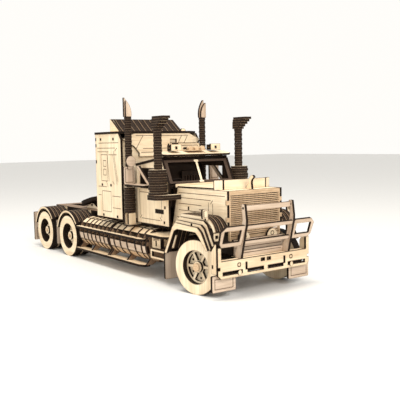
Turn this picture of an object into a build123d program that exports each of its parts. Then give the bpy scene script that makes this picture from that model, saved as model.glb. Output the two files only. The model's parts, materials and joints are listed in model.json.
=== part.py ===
"""Laser-cut plywood kit of a long-nosed 6x4 road-train tractor, about 1:17 scale, sizes in mm.

+X is forward, +Y is the truck's left and +Z is up. The origin is on the ground, under the middle
of the bounding box. Stations along the truck are counted from the front axle, as on a chassis
drawing, and the three drawing planes below carry that offset.
"""
import os
from math import cos, hypot, radians, sin

from build123d import *

os.makedirs("parts", exist_ok=True)

# ------------------------------------------------------------------------ driving dimensions
PLY = 3.0                 # thickness of the plywood sheet
GLUE = 0.05               # gap left between glued faces, so that the pieces stay separate
ENGRAVE = 0.35            # depth of an engraved line
LINE = 0.5                # width of an engraved line
LAYER = PLY + GLUE        # pitch of stacked discs and laminations

FRONT_AXLE_X = 206.93     # front axle, from the origin
REAR_AXLES = (-332.0, -420.3)      # tandem axle stations
AXLE_Z = 31.0             # wheel centre above ground
WHEEL_R = 31.0
WHEEL_FACE_Y = 68.0       # outer faces of the wheels, and half the truck's width
RIM_R = 19.2              # opening in the tyre discs
AXLE_R = 2.5              # wooden dowel axles
BORE_R = AXLE_R + 0.06    # running fit on the dowel
KINGPIN_Y = 50.0          # steering axis of each front wheel
KINGPIN_R = 1.5
STEER_REST = 11.5         # front wheels as displayed, turned to the truck's left (degrees)
TIE_ROD_X = -22.0         # tie rod pins, behind the front axle when straight ahead

RAIL_Y = 16.0             # inner faces of the chassis rails
RAIL_TOP = 65.0
RAIL_BOTTOM = 47.0
DECK_TOP = RAIL_TOP + PLY

TANK_R = 21.5
TANK_Y = 44.5
TANK_Z = 41.0
STEP_Z = 50.0             # top of the walkway along the tanks
LOW_STEP_Z = 17.5         # top of the lower steps
STEP_Y = 69.5             # outer edge of the steps

CAB_REAR = -147.0
CAB_FRONT = -72.0
CAB_Y = 52.0              # outer faces of the cab sides
CAB_FLOOR = 68.0
SILL_Z = 121.0            # lower edge of the windscreen
SCREEN_TOP = (-86.0, 151.0)

SLEEPER_REAR = -238.0
SLEEPER_FRONT = -166.0
SLEEPER_Y = 64.0
SLEEPER_FLOOR = 70.0
SLEEPER_TOP = 184.0

HOOD_Y = 41.0             # outer faces of the bonnet sides
HOOD_TOP = 116.0
HOOD_REAR = -68.0
GRILLE_X = 28.6           # front face of the grille

FENDER_R = 39.0           # outer radius of the rear wheel arches
BUMPER_X = 45.5           # front face of the bumper
BUMPER_TOP = 42.5
BUMPER_BOTTOM = 23.5

EXHAUST = (-152.3, 59.9)  # station and distance from the centre plane
INTAKE = (-76.5, 63.0)


# ------------------------------------------------------------------------ drawing planes
def side_plane(y):
    """Truck seen from its right side: x forward, y up. Extrudes towards the right (-Y)."""
    return Plane(origin=(FRONT_AXLE_X, y, 0), x_dir=(1, 0, 0), z_dir=(0, -1, 0))


def cross_plane(x):
    """Truck seen along its length: x to its left, y up. Extrudes forward."""
    return Plane(origin=(FRONT_AXLE_X + x, 0, 0), x_dir=(0, 1, 0), z_dir=(1, 0, 0))


def level_plane(z):
    """Truck seen from above: x forward, y to its left. Extrudes up."""
    return Plane(origin=(FRONT_AXLE_X, 0, z), x_dir=(1, 0, 0), z_dir=(0, 0, 1))


# ------------------------------------------------------------------------ drawing helpers
def rect(x0, y0, x1, y1, mode=Mode.ADD):
    """Rectangle between two corners, in the sketch being drawn."""
    with Locations(((x0 + x1) / 2, (y0 + y1) / 2)):
        Rectangle(abs(x1 - x0), abs(y1 - y0), mode=mode)


def stroke(start, end, width=LINE, mode=Mode.ADD):
    """Straight line of some width between two points, in the sketch being drawn."""
    run = Vector(*end) - Vector(*start)
    middle = (Vector(*start) + Vector(*end)) * 0.5
    angle = Vector(1, 0).get_signed_angle(run)
    with Locations(Location((middle.X, middle.Y, 0), (0, 0, angle))):
        Rectangle(run.length + width, width, mode=mode)


def loop_of(x0, y0, x1, y1):
    """Corners of a rectangle as a closed run of points, for an engraved panel line."""
    return [(x0, y0), (x1, y0), (x1, y1), (x0, y1), (x0, y0)]


def cut_plate(plane, outline, corner=0.0, slots=(), holes=(), lines=(), thickness=PLY):
    """One laser-cut plate: outline points, corner radius, slots (x0, y0, x1, y1), round holes
    (x, y, radius), and engraved lines, each a run of points on the face it is extruded to."""
    with BuildPart() as piece:
        with BuildSketch(plane) as face:
            Polygon(*outline, align=None)
            if corner:
                fillet(face.vertices(), corner)
            for slot in slots:
                rect(*slot, mode=Mode.SUBTRACT)
            for x, y, radius in holes:
                with Locations((x, y)):
                    Circle(radius, mode=Mode.SUBTRACT)
        extrude(amount=thickness)
        if lines:
            with BuildSketch(plane.offset(thickness)):
                for run in lines:
                    for start, end in zip(run, run[1:]):
                        stroke(start, end)
            extrude(amount=-ENGRAVE, mode=Mode.SUBTRACT)
    return piece.part


def box_plate(plane, x0, y0, x1, y1, **cuts):
    """A rectangular plate between two corners."""
    return cut_plate(plane, [(x0, y0), (x1, y0), (x1, y1), (x0, y1)], **cuts)


def pair(*pieces):
    """The pieces and their mirror images on the other side of the truck."""
    return [*pieces, *(mirror(piece, about=Plane.XZ) for piece in pieces)]


def disc_stack(x, y, z, radii, bore=0.0):
    """Discs piled up from height z, one for each radius."""
    with BuildPart() as stack:
        for layer, radius in enumerate(radii):
            with BuildSketch(level_plane(z + layer * LAYER)):
                with Locations((x, y)):
                    Circle(radius)
                    if bore:
                        Circle(bore, mode=Mode.SUBTRACT)
        extrude(amount=PLY)
    return stack.part


def ring_stack(side, y0, layers, outer, inner, x=0.0, z=0.0):
    """Discs on a cross axis, outwards from y0 on one side (-1 right, +1 left) of the truck."""
    with BuildPart() as stack:
        for layer in range(layers):
            face = Plane(origin=(x, side * (y0 + layer * LAYER), z), x_dir=(1, 0, 0), z_dir=(0, side, 0))
            with BuildSketch(face):
                Circle(outer)
                Circle(inner, mode=Mode.SUBTRACT)
        extrude(amount=PLY)
    return stack.part


def node(*pieces):
    """Separate pieces kept together in one named node."""
    with BuildPart() as group:
        add(pieces)
    return group


# ------------------------------------------------------------------------ chassis
RAIL_REAR = -466.0
RAIL_HOLES = [(x, 56, 4.0) for x in range(-450, 0, 30)]
chassis_rails = node(*pair(cut_plate(
    side_plane(-RAIL_Y),
    [(RAIL_REAR, RAIL_BOTTOM + 6), (RAIL_REAR, RAIL_TOP), (22, RAIL_TOP), (22, RAIL_BOTTOM),
     (RAIL_REAR + 8, RAIL_BOTTOM)],
    holes=RAIL_HOLES)))

CROSS_MEMBERS = (-458, -394, -352, -304, -240, -190, -100, -50, 12)
chassis_crossmembers = node(*[
    box_plate(cross_plane(x), -RAIL_Y + GLUE, RAIL_BOTTOM + 1, RAIL_Y - GLUE, RAIL_TOP - 1,
              holes=[(-8, 56, 3), (8, 56, 3)])
    for x in CROSS_MEMBERS])

rear_deck = node(
    box_plate(level_plane(RAIL_TOP + GLUE), RAIL_REAR, -28, SLEEPER_REAR + 4, 28, corner=2,
              slots=[(-448, -8, -400, 8), (-296, -9, -262, 9)],
              lines=[loop_of(-456, -22, -250, 22)]),
    box_plate(cross_plane(RAIL_REAR - LAYER), -30, 40, 30, 63, corner=2,
              slots=[(-24, 47, -14, 52), (14, 47, 24, 52)], lines=[loop_of(-27, 43, 27, 60)]))

# Front axle: two eyed plates with spacers between them, hung from the rails by leaf springs.
BEAM_LOW, BEAM_HIGH = 22.0, 37.0
beam_outline = [(-4, -53.2), (4, -53.2), (5, -44), (8, -30), (8, 30), (5, 44), (4, 53.2), (-4, 53.2),
                (-5, 44), (-8, 30), (-8, -30), (-5, -44)]
kingpin_eyes = [(0, side * KINGPIN_Y, KINGPIN_R + 0.06) for side in (-1, 1)]
front_axle_beam = node(
    cut_plate(level_plane(BEAM_LOW), beam_outline, holes=kingpin_eyes),
    cut_plate(level_plane(BEAM_HIGH), beam_outline, holes=kingpin_eyes),
    *[box_plate(cross_plane(x), -40, BEAM_LOW + LAYER, 40, BEAM_HIGH - GLUE) for x in (-4.5, 1.5)],
    *pair(cut_plate(side_plane(-RAIL_Y),
                    [(-40, RAIL_BOTTOM - GLUE), (-34, 43), (-12, BEAM_HIGH + LAYER),
                     (12, BEAM_HIGH + LAYER), (20, RAIL_BOTTOM - GLUE)])))

# Rear suspension: one bearing plate each side of the rails carries both axles.
bearing_outline = [(-452, 60), (-436, 36), (-426, 24), (-414, 24), (-400, 42), (-352, 42),
                   (-338, 24), (-326, 24), (-316, 36), (-300, 60)]
rear_axle_brackets = node(*pair(
    cut_plate(side_plane(-24), bearing_outline,
              holes=[(x, AXLE_Z, BORE_R) for x in REAR_AXLES] + [(-376, 51, 5)]),
    *[cut_plate(cross_plane(x), [(-24 + GLUE, 48), (-24 + GLUE, 58), (-RAIL_Y - LAYER, 58),
                                 (-RAIL_Y - LAYER, 48)]) for x in (-440, -378, -312)]))


# ------------------------------------------------------------------------ wheels
def steering_frame(side):
    """Place of a steered part that is drawn straight ahead around its kingpin."""
    return Location((FRONT_AXLE_X, side * KINGPIN_Y, AXLE_Z), (0, 0, STEER_REST))


def steered(side, *pieces):
    """Pieces drawn around the kingpin, put in place and turned as the front wheels are."""
    with BuildPart() as group:
        with Locations(steering_frame(side)):
            add(pieces)
    return group


def knuckle(side):
    """Steering knuckle: block on its kingpin, stub axle with a hub cap, and an arm to the rear."""
    block_half = 3.6
    block_height = BEAM_HIGH - BEAM_LOW - PLY - 0.6
    with BuildPart() as body:
        Box(2 * block_half, 2 * block_half, block_height)
        Cylinder(KINGPIN_R, BEAM_HIGH - BEAM_LOW + PLY + 4)
        with Locations((TIE_ROD_X / 2, 0, block_height / 2 - 1.5)):
            Box(-TIE_ROD_X, 5, 3)
        with Locations((TIE_ROD_X, 0, block_height / 2 - 1.5)):
            Cylinder(3.4, 3)
        with Locations((TIE_ROD_X, 0, block_height / 2 + 2.5)):
            Cylinder(1.2, 5)
        with BuildSketch(Plane(origin=(0, 0, 0), x_dir=(1, 0, 0), z_dir=(0, side, 0))):
            Circle(AXLE_R)
        extrude(amount=17)
        with BuildSketch(Plane(origin=(0, side * 16.3, 0), x_dir=(1, 0, 0), z_dir=(0, side, 0))):
            Circle(4.6)
        extrude(amount=1.5)
    return body.part


def front_rim(side):
    """Six-spoked rim disc in the wheel's well, its back disc, and the hub boss on it."""
    outward = Plane(origin=(0, 0, 0), x_dir=(1, 0, 0), z_dir=(0, side, 0))
    spoke_outer, hub_outer, spoke_width = 16.6, 7.4, 3.6
    with BuildPart() as rim:
        with BuildSketch(outward.offset(6)):
            Circle(RIM_R - GLUE)
            with PolarLocations(13.4, 6, start_angle=30):
                Circle(1.3, mode=Mode.SUBTRACT)
            Circle(BORE_R, mode=Mode.SUBTRACT)
        with BuildSketch(outward.offset(6 + LAYER)):
            Circle(RIM_R - GLUE)
            Circle(spoke_outer, mode=Mode.SUBTRACT)
            with PolarLocations(spoke_outer / 2, 6):
                Rectangle(spoke_outer + 1, spoke_width)
            Circle(hub_outer)
            Circle(BORE_R, mode=Mode.SUBTRACT)
        with BuildSketch(outward.offset(6 + 2 * LAYER)):
            Circle(hub_outer - 1)
            Circle(BORE_R, mode=Mode.SUBTRACT)
        extrude(amount=PLY)
    return rim.part


knuckle_right = steered(-1, knuckle(-1))
knuckle_left = steered(1, knuckle(1))
front_tyre_right = steered(-1, ring_stack(-1, 6, 4, WHEEL_R, RIM_R))
front_tyre_left = steered(1, ring_stack(1, 6, 4, WHEEL_R, RIM_R))
front_rim_right = steered(-1, front_rim(-1))
front_rim_left = steered(1, front_rim(1))

# The tie rod joins the two steering arms, so both wheels turn by the same angle.
PIN_SHIFT = TIE_ROD_X * cos(radians(STEER_REST))
PIN_SWING = TIE_ROD_X * sin(radians(STEER_REST))
TIE_ROD_Z = AXLE_Z + (BEAM_HIGH - BEAM_LOW - PLY - 0.6) / 2 + 0.3
tie_rod_pins = [(PIN_SHIFT, side * KINGPIN_Y + PIN_SWING) for side in (-1, 1)]
tie_rod = node(box_plate(
    level_plane(TIE_ROD_Z), PIN_SHIFT - 3, tie_rod_pins[0][1] - 4, PIN_SHIFT + 3,
    tie_rod_pins[1][1] + 4, corner=2.9, holes=[(x, y, 1.27) for x, y in tie_rod_pins]))

INNER_TYRE_Y = WHEEL_FACE_Y - 9 * LAYER      # two tyres of four discs with a spacer between


def drive_axle(station):
    """Dowel with its rims and hubs, and the dual tyres, of one rear axle."""
    x = FRONT_AXLE_X + station
    with BuildPart() as dowel:
        with BuildSketch(Plane(origin=(x, -WHEEL_FACE_Y + 1.2, AXLE_Z), x_dir=(1, 0, 0), z_dir=(0, 1, 0))):
            Circle(AXLE_R)
        extrude(amount=2 * WHEEL_FACE_Y - 2.4)
    tyres = []
    rims = []
    for side in (-1, 1):
        at = dict(x=x, z=AXLE_Z)
        hub_y = INNER_TYRE_Y + 5 * LAYER
        tyres.append(ring_stack(side, INNER_TYRE_Y, 4, WHEEL_R, RIM_R, **at))
        tyres.append(ring_stack(side, hub_y, 4, WHEEL_R, RIM_R, **at))
        rims.append(ring_stack(side, INNER_TYRE_Y, 1, RIM_R - GLUE, AXLE_R + GLUE, **at))
        rims.append(ring_stack(side, INNER_TYRE_Y + LAYER, 3, 8.0, AXLE_R + GLUE, **at))
        rims.append(ring_stack(side, INNER_TYRE_Y + 4 * LAYER, 1, 24.0, AXLE_R + GLUE, **at))
        rims.append(ring_stack(side, hub_y, 2, 9.2, AXLE_R + GLUE, **at))
        rims.append(ring_stack(side, hub_y + 2 * LAYER, 1, 6.4, AXLE_R + GLUE, **at))
        rims.append(ring_stack(side, 27.3, 4, 5.0, AXLE_R + GLUE, **at))
    return node(dowel.part, *rims), node(*tyres)


drive_axle_1, drive_tyres_1 = drive_axle(REAR_AXLES[0])
drive_axle_2, drive_tyres_2 = drive_axle(REAR_AXLES[1])

# ------------------------------------------------------------------------ fuel tanks and steps
TANK_RIBS = (-298, -283, -270, -258, -245, -232, -220, -208.2, -203, -190, -173, -155, -134,
             -118, -107)
STEP_LEGS = (-298, -258, -208.2, -203, -155, -107)
PLANK_ANGLES = (-130, -100, -70, -45, -12, 55, 85, 115)     # around the rib, from its outer side
PLANK = (PLY, 9.5)


def tank_rib(x):
    """Round rib, notched for the planks and the walkway; some have a leg to the lower step."""
    with BuildPart() as rib:
        with BuildSketch(cross_plane(x)):
            with Locations((-TANK_Y, TANK_Z)):
                Circle(TANK_R)
            if x in STEP_LEGS:
                Polygon((-63, 34), (-60, 24), (-66, LOW_STEP_Z + GLUE), (-57, LOW_STEP_Z + GLUE),
                        (-48, 22), (-40, 26), (-44, 34), align=None)
            with Locations((-TANK_Y, TANK_Z)):
                for angle in PLANK_ANGLES:
                    with Locations(Location((0, 0, 0), (0, 0, 180 - angle))):
                        with Locations((TANK_R - 2.2, 0)):
                            Rectangle(PLANK[0] + 2 * GLUE, PLANK[1] + 2 * GLUE, mode=Mode.SUBTRACT)
            rect(-TANK_Y - TANK_R - 1, STEP_Z - PLY - GLUE, -61.9, STEP_Z + GLUE, mode=Mode.SUBTRACT)
        extrude(amount=PLY)
    return rib.part


def tank_planks(front, rear):
    """Planks along one tank, let into the notches of its ribs."""
    with BuildPart() as planks:
        with BuildSketch(cross_plane(rear)):
            for angle in PLANK_ANGLES:
                with Locations(Location((-TANK_Y, TANK_Z, 0), (0, 0, 180 - angle))):
                    with Locations((TANK_R - 2.2, 0)):
                        Rectangle(*PLANK)
        extrude(amount=front - rear)
    return planks.part


fuel_tank_ribs = node(*pair(*[tank_rib(x) for x in TANK_RIBS]))
fuel_tank_planks = node(*pair(tank_planks(-206.0, -297), tank_planks(-105, -202.0)))
tank_steps = node(*pair(
    box_plate(level_plane(STEP_Z - PLY), -300, -STEP_Y, -205.6, -62, corner=1.5),
    cut_plate(level_plane(STEP_Z - PLY), [(-205, -STEP_Y), (-118, -STEP_Y), (-110, -66), (-110, -62),
                                          (-205, -62)], corner=1.5),
    box_plate(level_plane(LOW_STEP_Z - PLY), -302, -STEP_Y, -205.6, -57, corner=1.5),
    cut_plate(level_plane(LOW_STEP_Z - PLY), [(-205, -STEP_Y), (-118, -STEP_Y), (-109, -66),
                                              (-109, -57), (-205, -57)], corner=1.5),
    *[cut_plate(cross_plane(x), [(-RAIL_Y - LAYER, 48), (-RAIL_Y - LAYER, 62), (-24.5, 62),
                               (-26.5, 54), (-23.5, 46)])
    for x in (-294, -216, -199, -124)]))

toolboxes = node(*pair(
    cut_plate(level_plane(55), [(-103, -68), (-66, -68), (-56, -62), (-52, -24), (-103, -24)],
              corner=1.8, lines=[[(-98, -30), (-98, -62)]]),
    box_plate(side_plane(-57), -99.7, 40.4, -80, 55 - GLUE, slots=[(-91.3, 43, -88.7, 50)],
              lines=[[(-96, 52.6), (-83, 52.6)], [(-96, 51.2), (-83, 51.2)], [(-96, 49.8), (-93, 49.8)]]),
    box_plate(side_plane(-63), -94, 28.8, -61, 40.2, corner=1, slots=[(-91, 31.4, -64, 37.6)]),
    box_plate(level_plane(40.3), -97, -56.9, -61, -24),
    box_plate(cross_plane(-80), -56.9, 43.4, -24, 54.9),
    box_plate(cross_plane(-64), -60, 24, -24, 40.2)))

# ------------------------------------------------------------------------ cab
ROOF_SLOPE = 8.3                              # the cab roof rises forward
ROOF_REAR_Z = 141.5


def roof_z(x):
    """Underside of the cab roof at a station."""
    return ROOF_REAR_Z + (x - CAB_REAR) * sin(radians(ROOF_SLOPE))


window = (-138, 113, -94, 139)
FIREWALL_X = -85.0
cab_floor = node(box_plate(level_plane(CAB_FLOOR - PLY), CAB_REAR + LAYER, -CAB_Y + LAYER,
                           FIREWALL_X - GLUE, CAB_Y - LAYER))
cab_sides = node(*pair(
    box_plate(side_plane(-CAB_Y + 1.6), -102.9, 82.9, -83.6, 87.9, thickness=1.0),
    cut_plate(
        side_plane(-CAB_Y + PLY),
        [(CAB_REAR, CAB_FLOOR), (CAB_FRONT, CAB_FLOOR), (CAB_FRONT, SILL_Z),
         (SCREEN_TOP[0], roof_z(SCREEN_TOP[0]) - GLUE), (CAB_REAR, roof_z(CAB_REAR) - GLUE)],
        slots=[window, (-82, 89.4, -79, 92.6), (-84, 70.6, -81, 73.8), (-103, 82.8, -83.5, 88)],
        lines=[[(-140, 111), (-140, 78), (-136, 74), (-92, 74), (-88, 78), (-88, 82)],
               [(-88, 88.6), (-88, 110)], [(-140, 108), (-92, 108)]])))
cab_bulkheads = node(
    box_plate(cross_plane(CAB_REAR), -CAB_Y + LAYER, CAB_FLOOR + GLUE, CAB_Y - LAYER,
              roof_z(CAB_REAR) - GLUE),
    box_plate(cross_plane(FIREWALL_X), -37.9, RAIL_TOP + GLUE, 37.9, 113.9))

screen_rise = SCREEN_TOP[1] - SILL_Z
screen_run = SCREEN_TOP[0] - CAB_FRONT
screen_length = hypot(screen_rise, screen_run)
screen_plane = Plane(origin=(FRONT_AXLE_X + CAB_FRONT - 3.6, 0, SILL_Z - 1.5), x_dir=(0, 1, 0),
                     z_dir=(screen_rise / screen_length, 0, -screen_run / screen_length))
windscreen_frame = node(cut_plate(
    screen_plane, [(-48.8, 0), (48.8, 0), (48.8, 31), (-48.8, 31)],
    slots=[(-44, 2.5, -1.6, 28), (1.6, 2.5, 44, 28)]))

roof_plane = Plane(origin=(FRONT_AXLE_X + CAB_REAR, 0, ROOF_REAR_Z), x_dir=(cos(radians(ROOF_SLOPE)), 0,
                   sin(radians(ROOF_SLOPE))), z_dir=(-sin(radians(ROOF_SLOPE)), 0, cos(radians(ROOF_SLOPE))))
cab_roof = node(cut_plate(roof_plane, [(-1, -53), (60, -53), (60, 53), (-1, 53)], corner=1.5,
                          lines=[loop_of(5, -47, 55, 47)]))
VISOR_DROP = 13.0                             # the visor's front edge hangs down (degrees)
visor_plane = Plane(origin=(FRONT_AXLE_X - 97, 0, 157.4),
                    x_dir=(cos(radians(VISOR_DROP)), 0, -sin(radians(VISOR_DROP))),
                    z_dir=(sin(radians(VISOR_DROP)), 0, cos(radians(VISOR_DROP))))
sun_visor = node(
    cut_plate(visor_plane, [(0, -47), (7, -CAB_Y - 1), (15.6, -CAB_Y - 1), (17.6, -48), (17.6, 48),
                            (15.6, CAB_Y + 1), (7, CAB_Y + 1), (0, 47)], corner=1, thickness=2.6),
    *pair(cut_plate(side_plane(-CAB_Y + 3 * PLY), [(-96, 152.2), (-88, 153.4), (-88, 155.1), (-96, 157.0)])))


def lamp_box(y0, y1, x_front=-84.0, low=160.4, high=168.6, depth=12.0):
    """Marker lamp housing: holed front, back, top and bottom."""
    return [box_plate(cross_plane(x_front - PLY), y0, low, y1, high,
                      slots=[((y0 + y1) / 2 - 1.6, 162.4, (y0 + y1) / 2 + 1.6, 165.8)]),
            box_plate(cross_plane(x_front - depth), y0 + 2, low, y1 - 2, high - 1),
            box_plate(level_plane(high - PLY - 1), x_front - depth + LAYER, y0 + 2, x_front - LAYER, y1 - 2),
            box_plate(level_plane(low), x_front - depth + LAYER, y0 + 1, x_front - LAYER, y1 - 1)]


def air_horn(y):
    """Trumpet of stacked discs on the front of the roof."""
    bell = []
    for layer, radius in enumerate((1.5, 1.5, 1.8, 2.3, 3.1)):
        with BuildPart() as ring:
            with BuildSketch(cross_plane(-100 + layer * LAYER)):
                with Locations((y, 163.2)):
                    Circle(radius)
            extrude(amount=PLY)
        bell.append(ring.part)
    return bell


roof_lamps = node(*pair(*lamp_box(-38.5, -23)), *air_horn(-8), *air_horn(1.5), *air_horn(11),
                  box_plate(cross_plane(-96.2), -13, 160.2, 16, 161.2, thickness=12))
unit_side = [(-127.9, 148.2), (-116.1, 149.9), (-116.1, 166.9), (-127.9, 166.9)]
roof_unit = node(
    box_plate(cross_plane(-116), -8, 150, 26, 170, lines=[loop_of(-5, 154, 23, 167)]),
    box_plate(cross_plane(-131), -6, 147.6, 24, 168),
    box_plate(level_plane(167), -127.9, -8, -116.1, 26),
    cut_plate(side_plane(-2), unit_side), cut_plate(side_plane(23), unit_side))


def seat(y):
    """Seat with a slatted back, seen through the windscreen."""
    slats = [(y + shift - 0.9, 92, y + shift + 0.9, 126) for shift in (-9, -4.5, 0, 4.5, 9)]
    return [box_plate(level_plane(84), -134, y - 14, -106, y + 14, corner=2),
            box_plate(cross_plane(-138), y - 14, 78, y + 14, 132, corner=2, slots=slats),
            box_plate(side_plane(y + 10), -130, CAB_FLOOR + GLUE, -112, 84 - GLUE),
            box_plate(side_plane(y - 7), -130, CAB_FLOOR + GLUE, -112, 84 - GLUE)]


seats = node(*seat(-26), *seat(26))
wheel_plane = Plane(origin=(FRONT_AXLE_X - 98, -26, 119), x_dir=(0, 1, 0), z_dir=(-0.5, 0, 0.866))
with BuildPart() as steering_wheel:
    with BuildSketch(wheel_plane):
        Circle(11)
        Circle(8.6, mode=Mode.SUBTRACT)
        Circle(2.6)
        with PolarLocations(5, 3, start_angle=90):
            Rectangle(8, 2)
    extrude(amount=2.2)
    with BuildSketch(wheel_plane):
        Circle(1.5)
    extrude(amount=-10)
dashboard = node(
    steering_wheel.part,
    box_plate(level_plane(114), -91, -CAB_Y + 2 * PLY, CAB_FRONT - 4, CAB_Y - 2 * PLY, corner=1),
    box_plate(cross_plane(-91), -CAB_Y + 2 * PLY, 98, CAB_Y - 2 * PLY, 114 - GLUE,
              holes=[(-30, 106, 4), (-18, 106, 4), (18, 106, 4), (30, 106, 4)]))

# ------------------------------------------------------------------------ sleeper
SHELF_TABS = {72.6: (-219, -179.5), 114.6: (-220.5, -195.5), 177.0: (-222, -186)}
BACK_TABS = (146, 168.5, 177.2)
TAB = 4.0


def shelf(z, stations):
    """Horizontal plate of the sleeper with a tab through each side at every station."""
    inner = SLEEPER_Y - LAYER
    with BuildPart() as plate:
        with BuildSketch(level_plane(z - PLY / 2)):
            rect(SLEEPER_REAR + LAYER, -inner, SLEEPER_FRONT - LAYER, inner)
            for x in stations:
                rect(x - TAB / 2, -SLEEPER_Y, x + TAB / 2, SLEEPER_Y)
        extrude(amount=PLY)
    return plate.part


side_slots = [(x - TAB / 2 - GLUE, z - PLY / 2 - GLUE, x + TAB / 2 + GLUE, z + PLY / 2 + GLUE)
              for z, stations in SHELF_TABS.items() for x in stations]
back_slots = [(SLEEPER_REAR - 1, z - 2 - GLUE, SLEEPER_REAR + LAYER, z + 2 + GLUE) for z in BACK_TABS]
sleeper_sides = node(*pair(cut_plate(
    side_plane(-SLEEPER_Y + PLY),
    [(SLEEPER_REAR, SLEEPER_FLOOR), (SLEEPER_FRONT, SLEEPER_FLOOR), (SLEEPER_FRONT, 176),
     (-172, SLEEPER_TOP), (SLEEPER_REAR, SLEEPER_TOP)],
    slots=side_slots + back_slots,
    lines=[[(-232, 165), (-182, 165), (-176, 161), (-186, 120), (-190, 116)],
           [(-232, 160), (-200, 160), (-204, 120), (-208, 112), (-232, 112)],
           loop_of(-222, 120, -204, 156), loop_of(-216, 128, -208, 136), loop_of(-216, 140, -208, 148),
           [(-200, 156), (-178, 156), (-188, 116)], loop_of(-221, 78, -196, 106),
           [(-232, 100), (-224, 100)], [(-192, 100), (-170, 100)], [(-192, 84), (-170, 84)],
           [(-228, 172), (-172, 172)]])))
sleeper_shelves = node(*[shelf(z, stations) for z, stations in SHELF_TABS.items()],
                       *[box_plate(cross_plane(x), -30, RAIL_TOP + GLUE, 30, 71) for x in (-226, -182)])

with BuildPart() as sleeper_back:
    with BuildSketch(cross_plane(SLEEPER_REAR)):
        rect(-SLEEPER_Y + LAYER, SLEEPER_FLOOR, SLEEPER_Y - LAYER, SLEEPER_TOP)
        for z in BACK_TABS:
            rect(-SLEEPER_Y, z - 2, SLEEPER_Y, z + 2)
    extrude(amount=PLY)
    with BuildSketch(cross_plane(SLEEPER_REAR)):
        for run in (loop_of(-50, 84, -6, 172), loop_of(6, 84, 50, 172), loop_of(-18, 118, 18, 150)):
            for start, end in zip(run, run[1:]):
                stroke(start, end)
    extrude(amount=ENGRAVE, mode=Mode.SUBTRACT)

front_cap = [(-37, 153), (37, 153), (37, 158), (57, 168), (62.5, 176), (45, SLEEPER_TOP - GLUE),
             (-45, SLEEPER_TOP - GLUE), (-62.5, 176), (-45, 167), (-37, 158)]
sleeper_front = node(
    box_plate(cross_plane(SLEEPER_FRONT - PLY), -SLEEPER_Y + LAYER, SLEEPER_FLOOR, SLEEPER_Y - LAYER, 178),
    cut_plate(cross_plane(SLEEPER_FRONT + GLUE), front_cap,
              slots=[(12.8, 171.2, 23.3, 176), (8.6, 166.4, 10.6, 169.6), (8.6, 158.4, 10.6, 161.6)],
              lines=[[(-42, 181), (42, 181)], [(-42, 181), (-31, 163.6), (8, 163.6)],
                     [(-34, 158.6), (34, 158.6)], [(26, 181), (32, 170.6)], [(36, 181), (42, 170.6)],
                     [(12, 170.4), (56, 170.4)]]))
deflector_base = SLEEPER_TOP + LAYER + GLUE
roof_outline = [(SLEEPER_REAR - 1, -SLEEPER_Y - 1), (-176, -SLEEPER_Y - 1), (SLEEPER_FRONT + 4, -46),
                (SLEEPER_FRONT + 4, 46), (-176, SLEEPER_Y + 1), (SLEEPER_REAR - 1, SLEEPER_Y + 1)]
sleeper_roof = node(
    cut_plate(level_plane(SLEEPER_TOP + GLUE), roof_outline, corner=1.5),
    cut_plate(cross_plane(-176), [(38, deflector_base), (46, deflector_base), (45.4, deflector_base + 2.4),
                                  (43.6, deflector_base + 3.6), (40.4, deflector_base + 3.6),
                                  (38.6, deflector_base + 2.4)]))

# Roof deflector: a fan of identical leaning slices between two triangular cheeks.
DEFLECTOR_SLICES = 32
slice_outline = [(-216, deflector_base + 17.6), (-212.4, deflector_base + 17.6), (-198, deflector_base + 6),
                 (-189.5, deflector_base), (-194, deflector_base)]
roof_deflector = node(
    *[cut_plate(side_plane(-DEFLECTOR_SLICES / 2 * LAYER + layer * LAYER + PLY), slice_outline)
      for layer in range(DEFLECTOR_SLICES)],
    *pair(cut_plate(side_plane(-DEFLECTOR_SLICES / 2 * LAYER - GLUE),
                    [(-216, deflector_base), (-190, deflector_base), (-214, deflector_base + 17.6),
                     (-216, deflector_base + 17.6)])))

# ------------------------------------------------------------------------ bonnet and grille
GRILLE_TABS = (103.0, 84.0)
hood_sides = node(*pair(cut_plate(
    side_plane(-HOOD_Y + PLY),
    [(-81, 67), (-20, 67), (-20, 72), (28.6, 72), (28.6, HOOD_TOP), (HOOD_REAR, HOOD_TOP),
     (HOOD_REAR - 1, 112)],
    slots=[(-47, 90, -44.2, 94)] + [(25.5, z - 2.5, 29, z + 2.5) for z in GRILLE_TABS],
    lines=[[(-66, 110), (24, 110)], [(-62, 104), (-2, 104), (2, 100), (2, 86), (-8, 82)],
           [(-66, 97), (-20, 97)], [(-66, 89), (-10, 89)], [(-70, 80), (-42, 80)],
           [(-6, 101), (-6, 92), (-24, 92)]])))
hood_top = node(
    box_plate(level_plane(HOOD_TOP - PLY), HOOD_REAR, -HOOD_Y + LAYER, 25.4, HOOD_Y - LAYER),
    cut_plate(level_plane(HOOD_TOP + GLUE), [(HOOD_REAR, -HOOD_Y), (-30, -36), (6, -33), (6, 33),
                                             (-30, 36), (HOOD_REAR, HOOD_Y)], thickness=1.6),
    cut_plate(cross_plane(HOOD_REAR - LAYER), [(-37.9, 104), (37.9, 104), (37.9, 116.1), (44, 116.1),
                                               (44, 120.4), (-44, 120.4), (-44, 116.1), (-37.9, 116.1)]))

LOUVRE_PITCH = 2.15
LOUVRES = 22
louvre_slots = [(-36.2, 64.8 + row * LOUVRE_PITCH, 36.2, 65.9 + row * LOUVRE_PITCH) for row in range(LOUVRES)]
with BuildPart() as grille:
    with BuildSketch(cross_plane(GRILLE_X - PLY)) as grille_face:
        rect(-HOOD_Y + LAYER, 60, HOOD_Y - LAYER, HOOD_TOP - 0.4)
        fillet(grille_face.vertices(), 1.2)
        for z in GRILLE_TABS:
            rect(-HOOD_Y, z - 2.4, HOOD_Y, z + 2.4)
        for slot in louvre_slots:
            rect(*slot, mode=Mode.SUBTRACT)
    extrude(amount=PLY)

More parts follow.
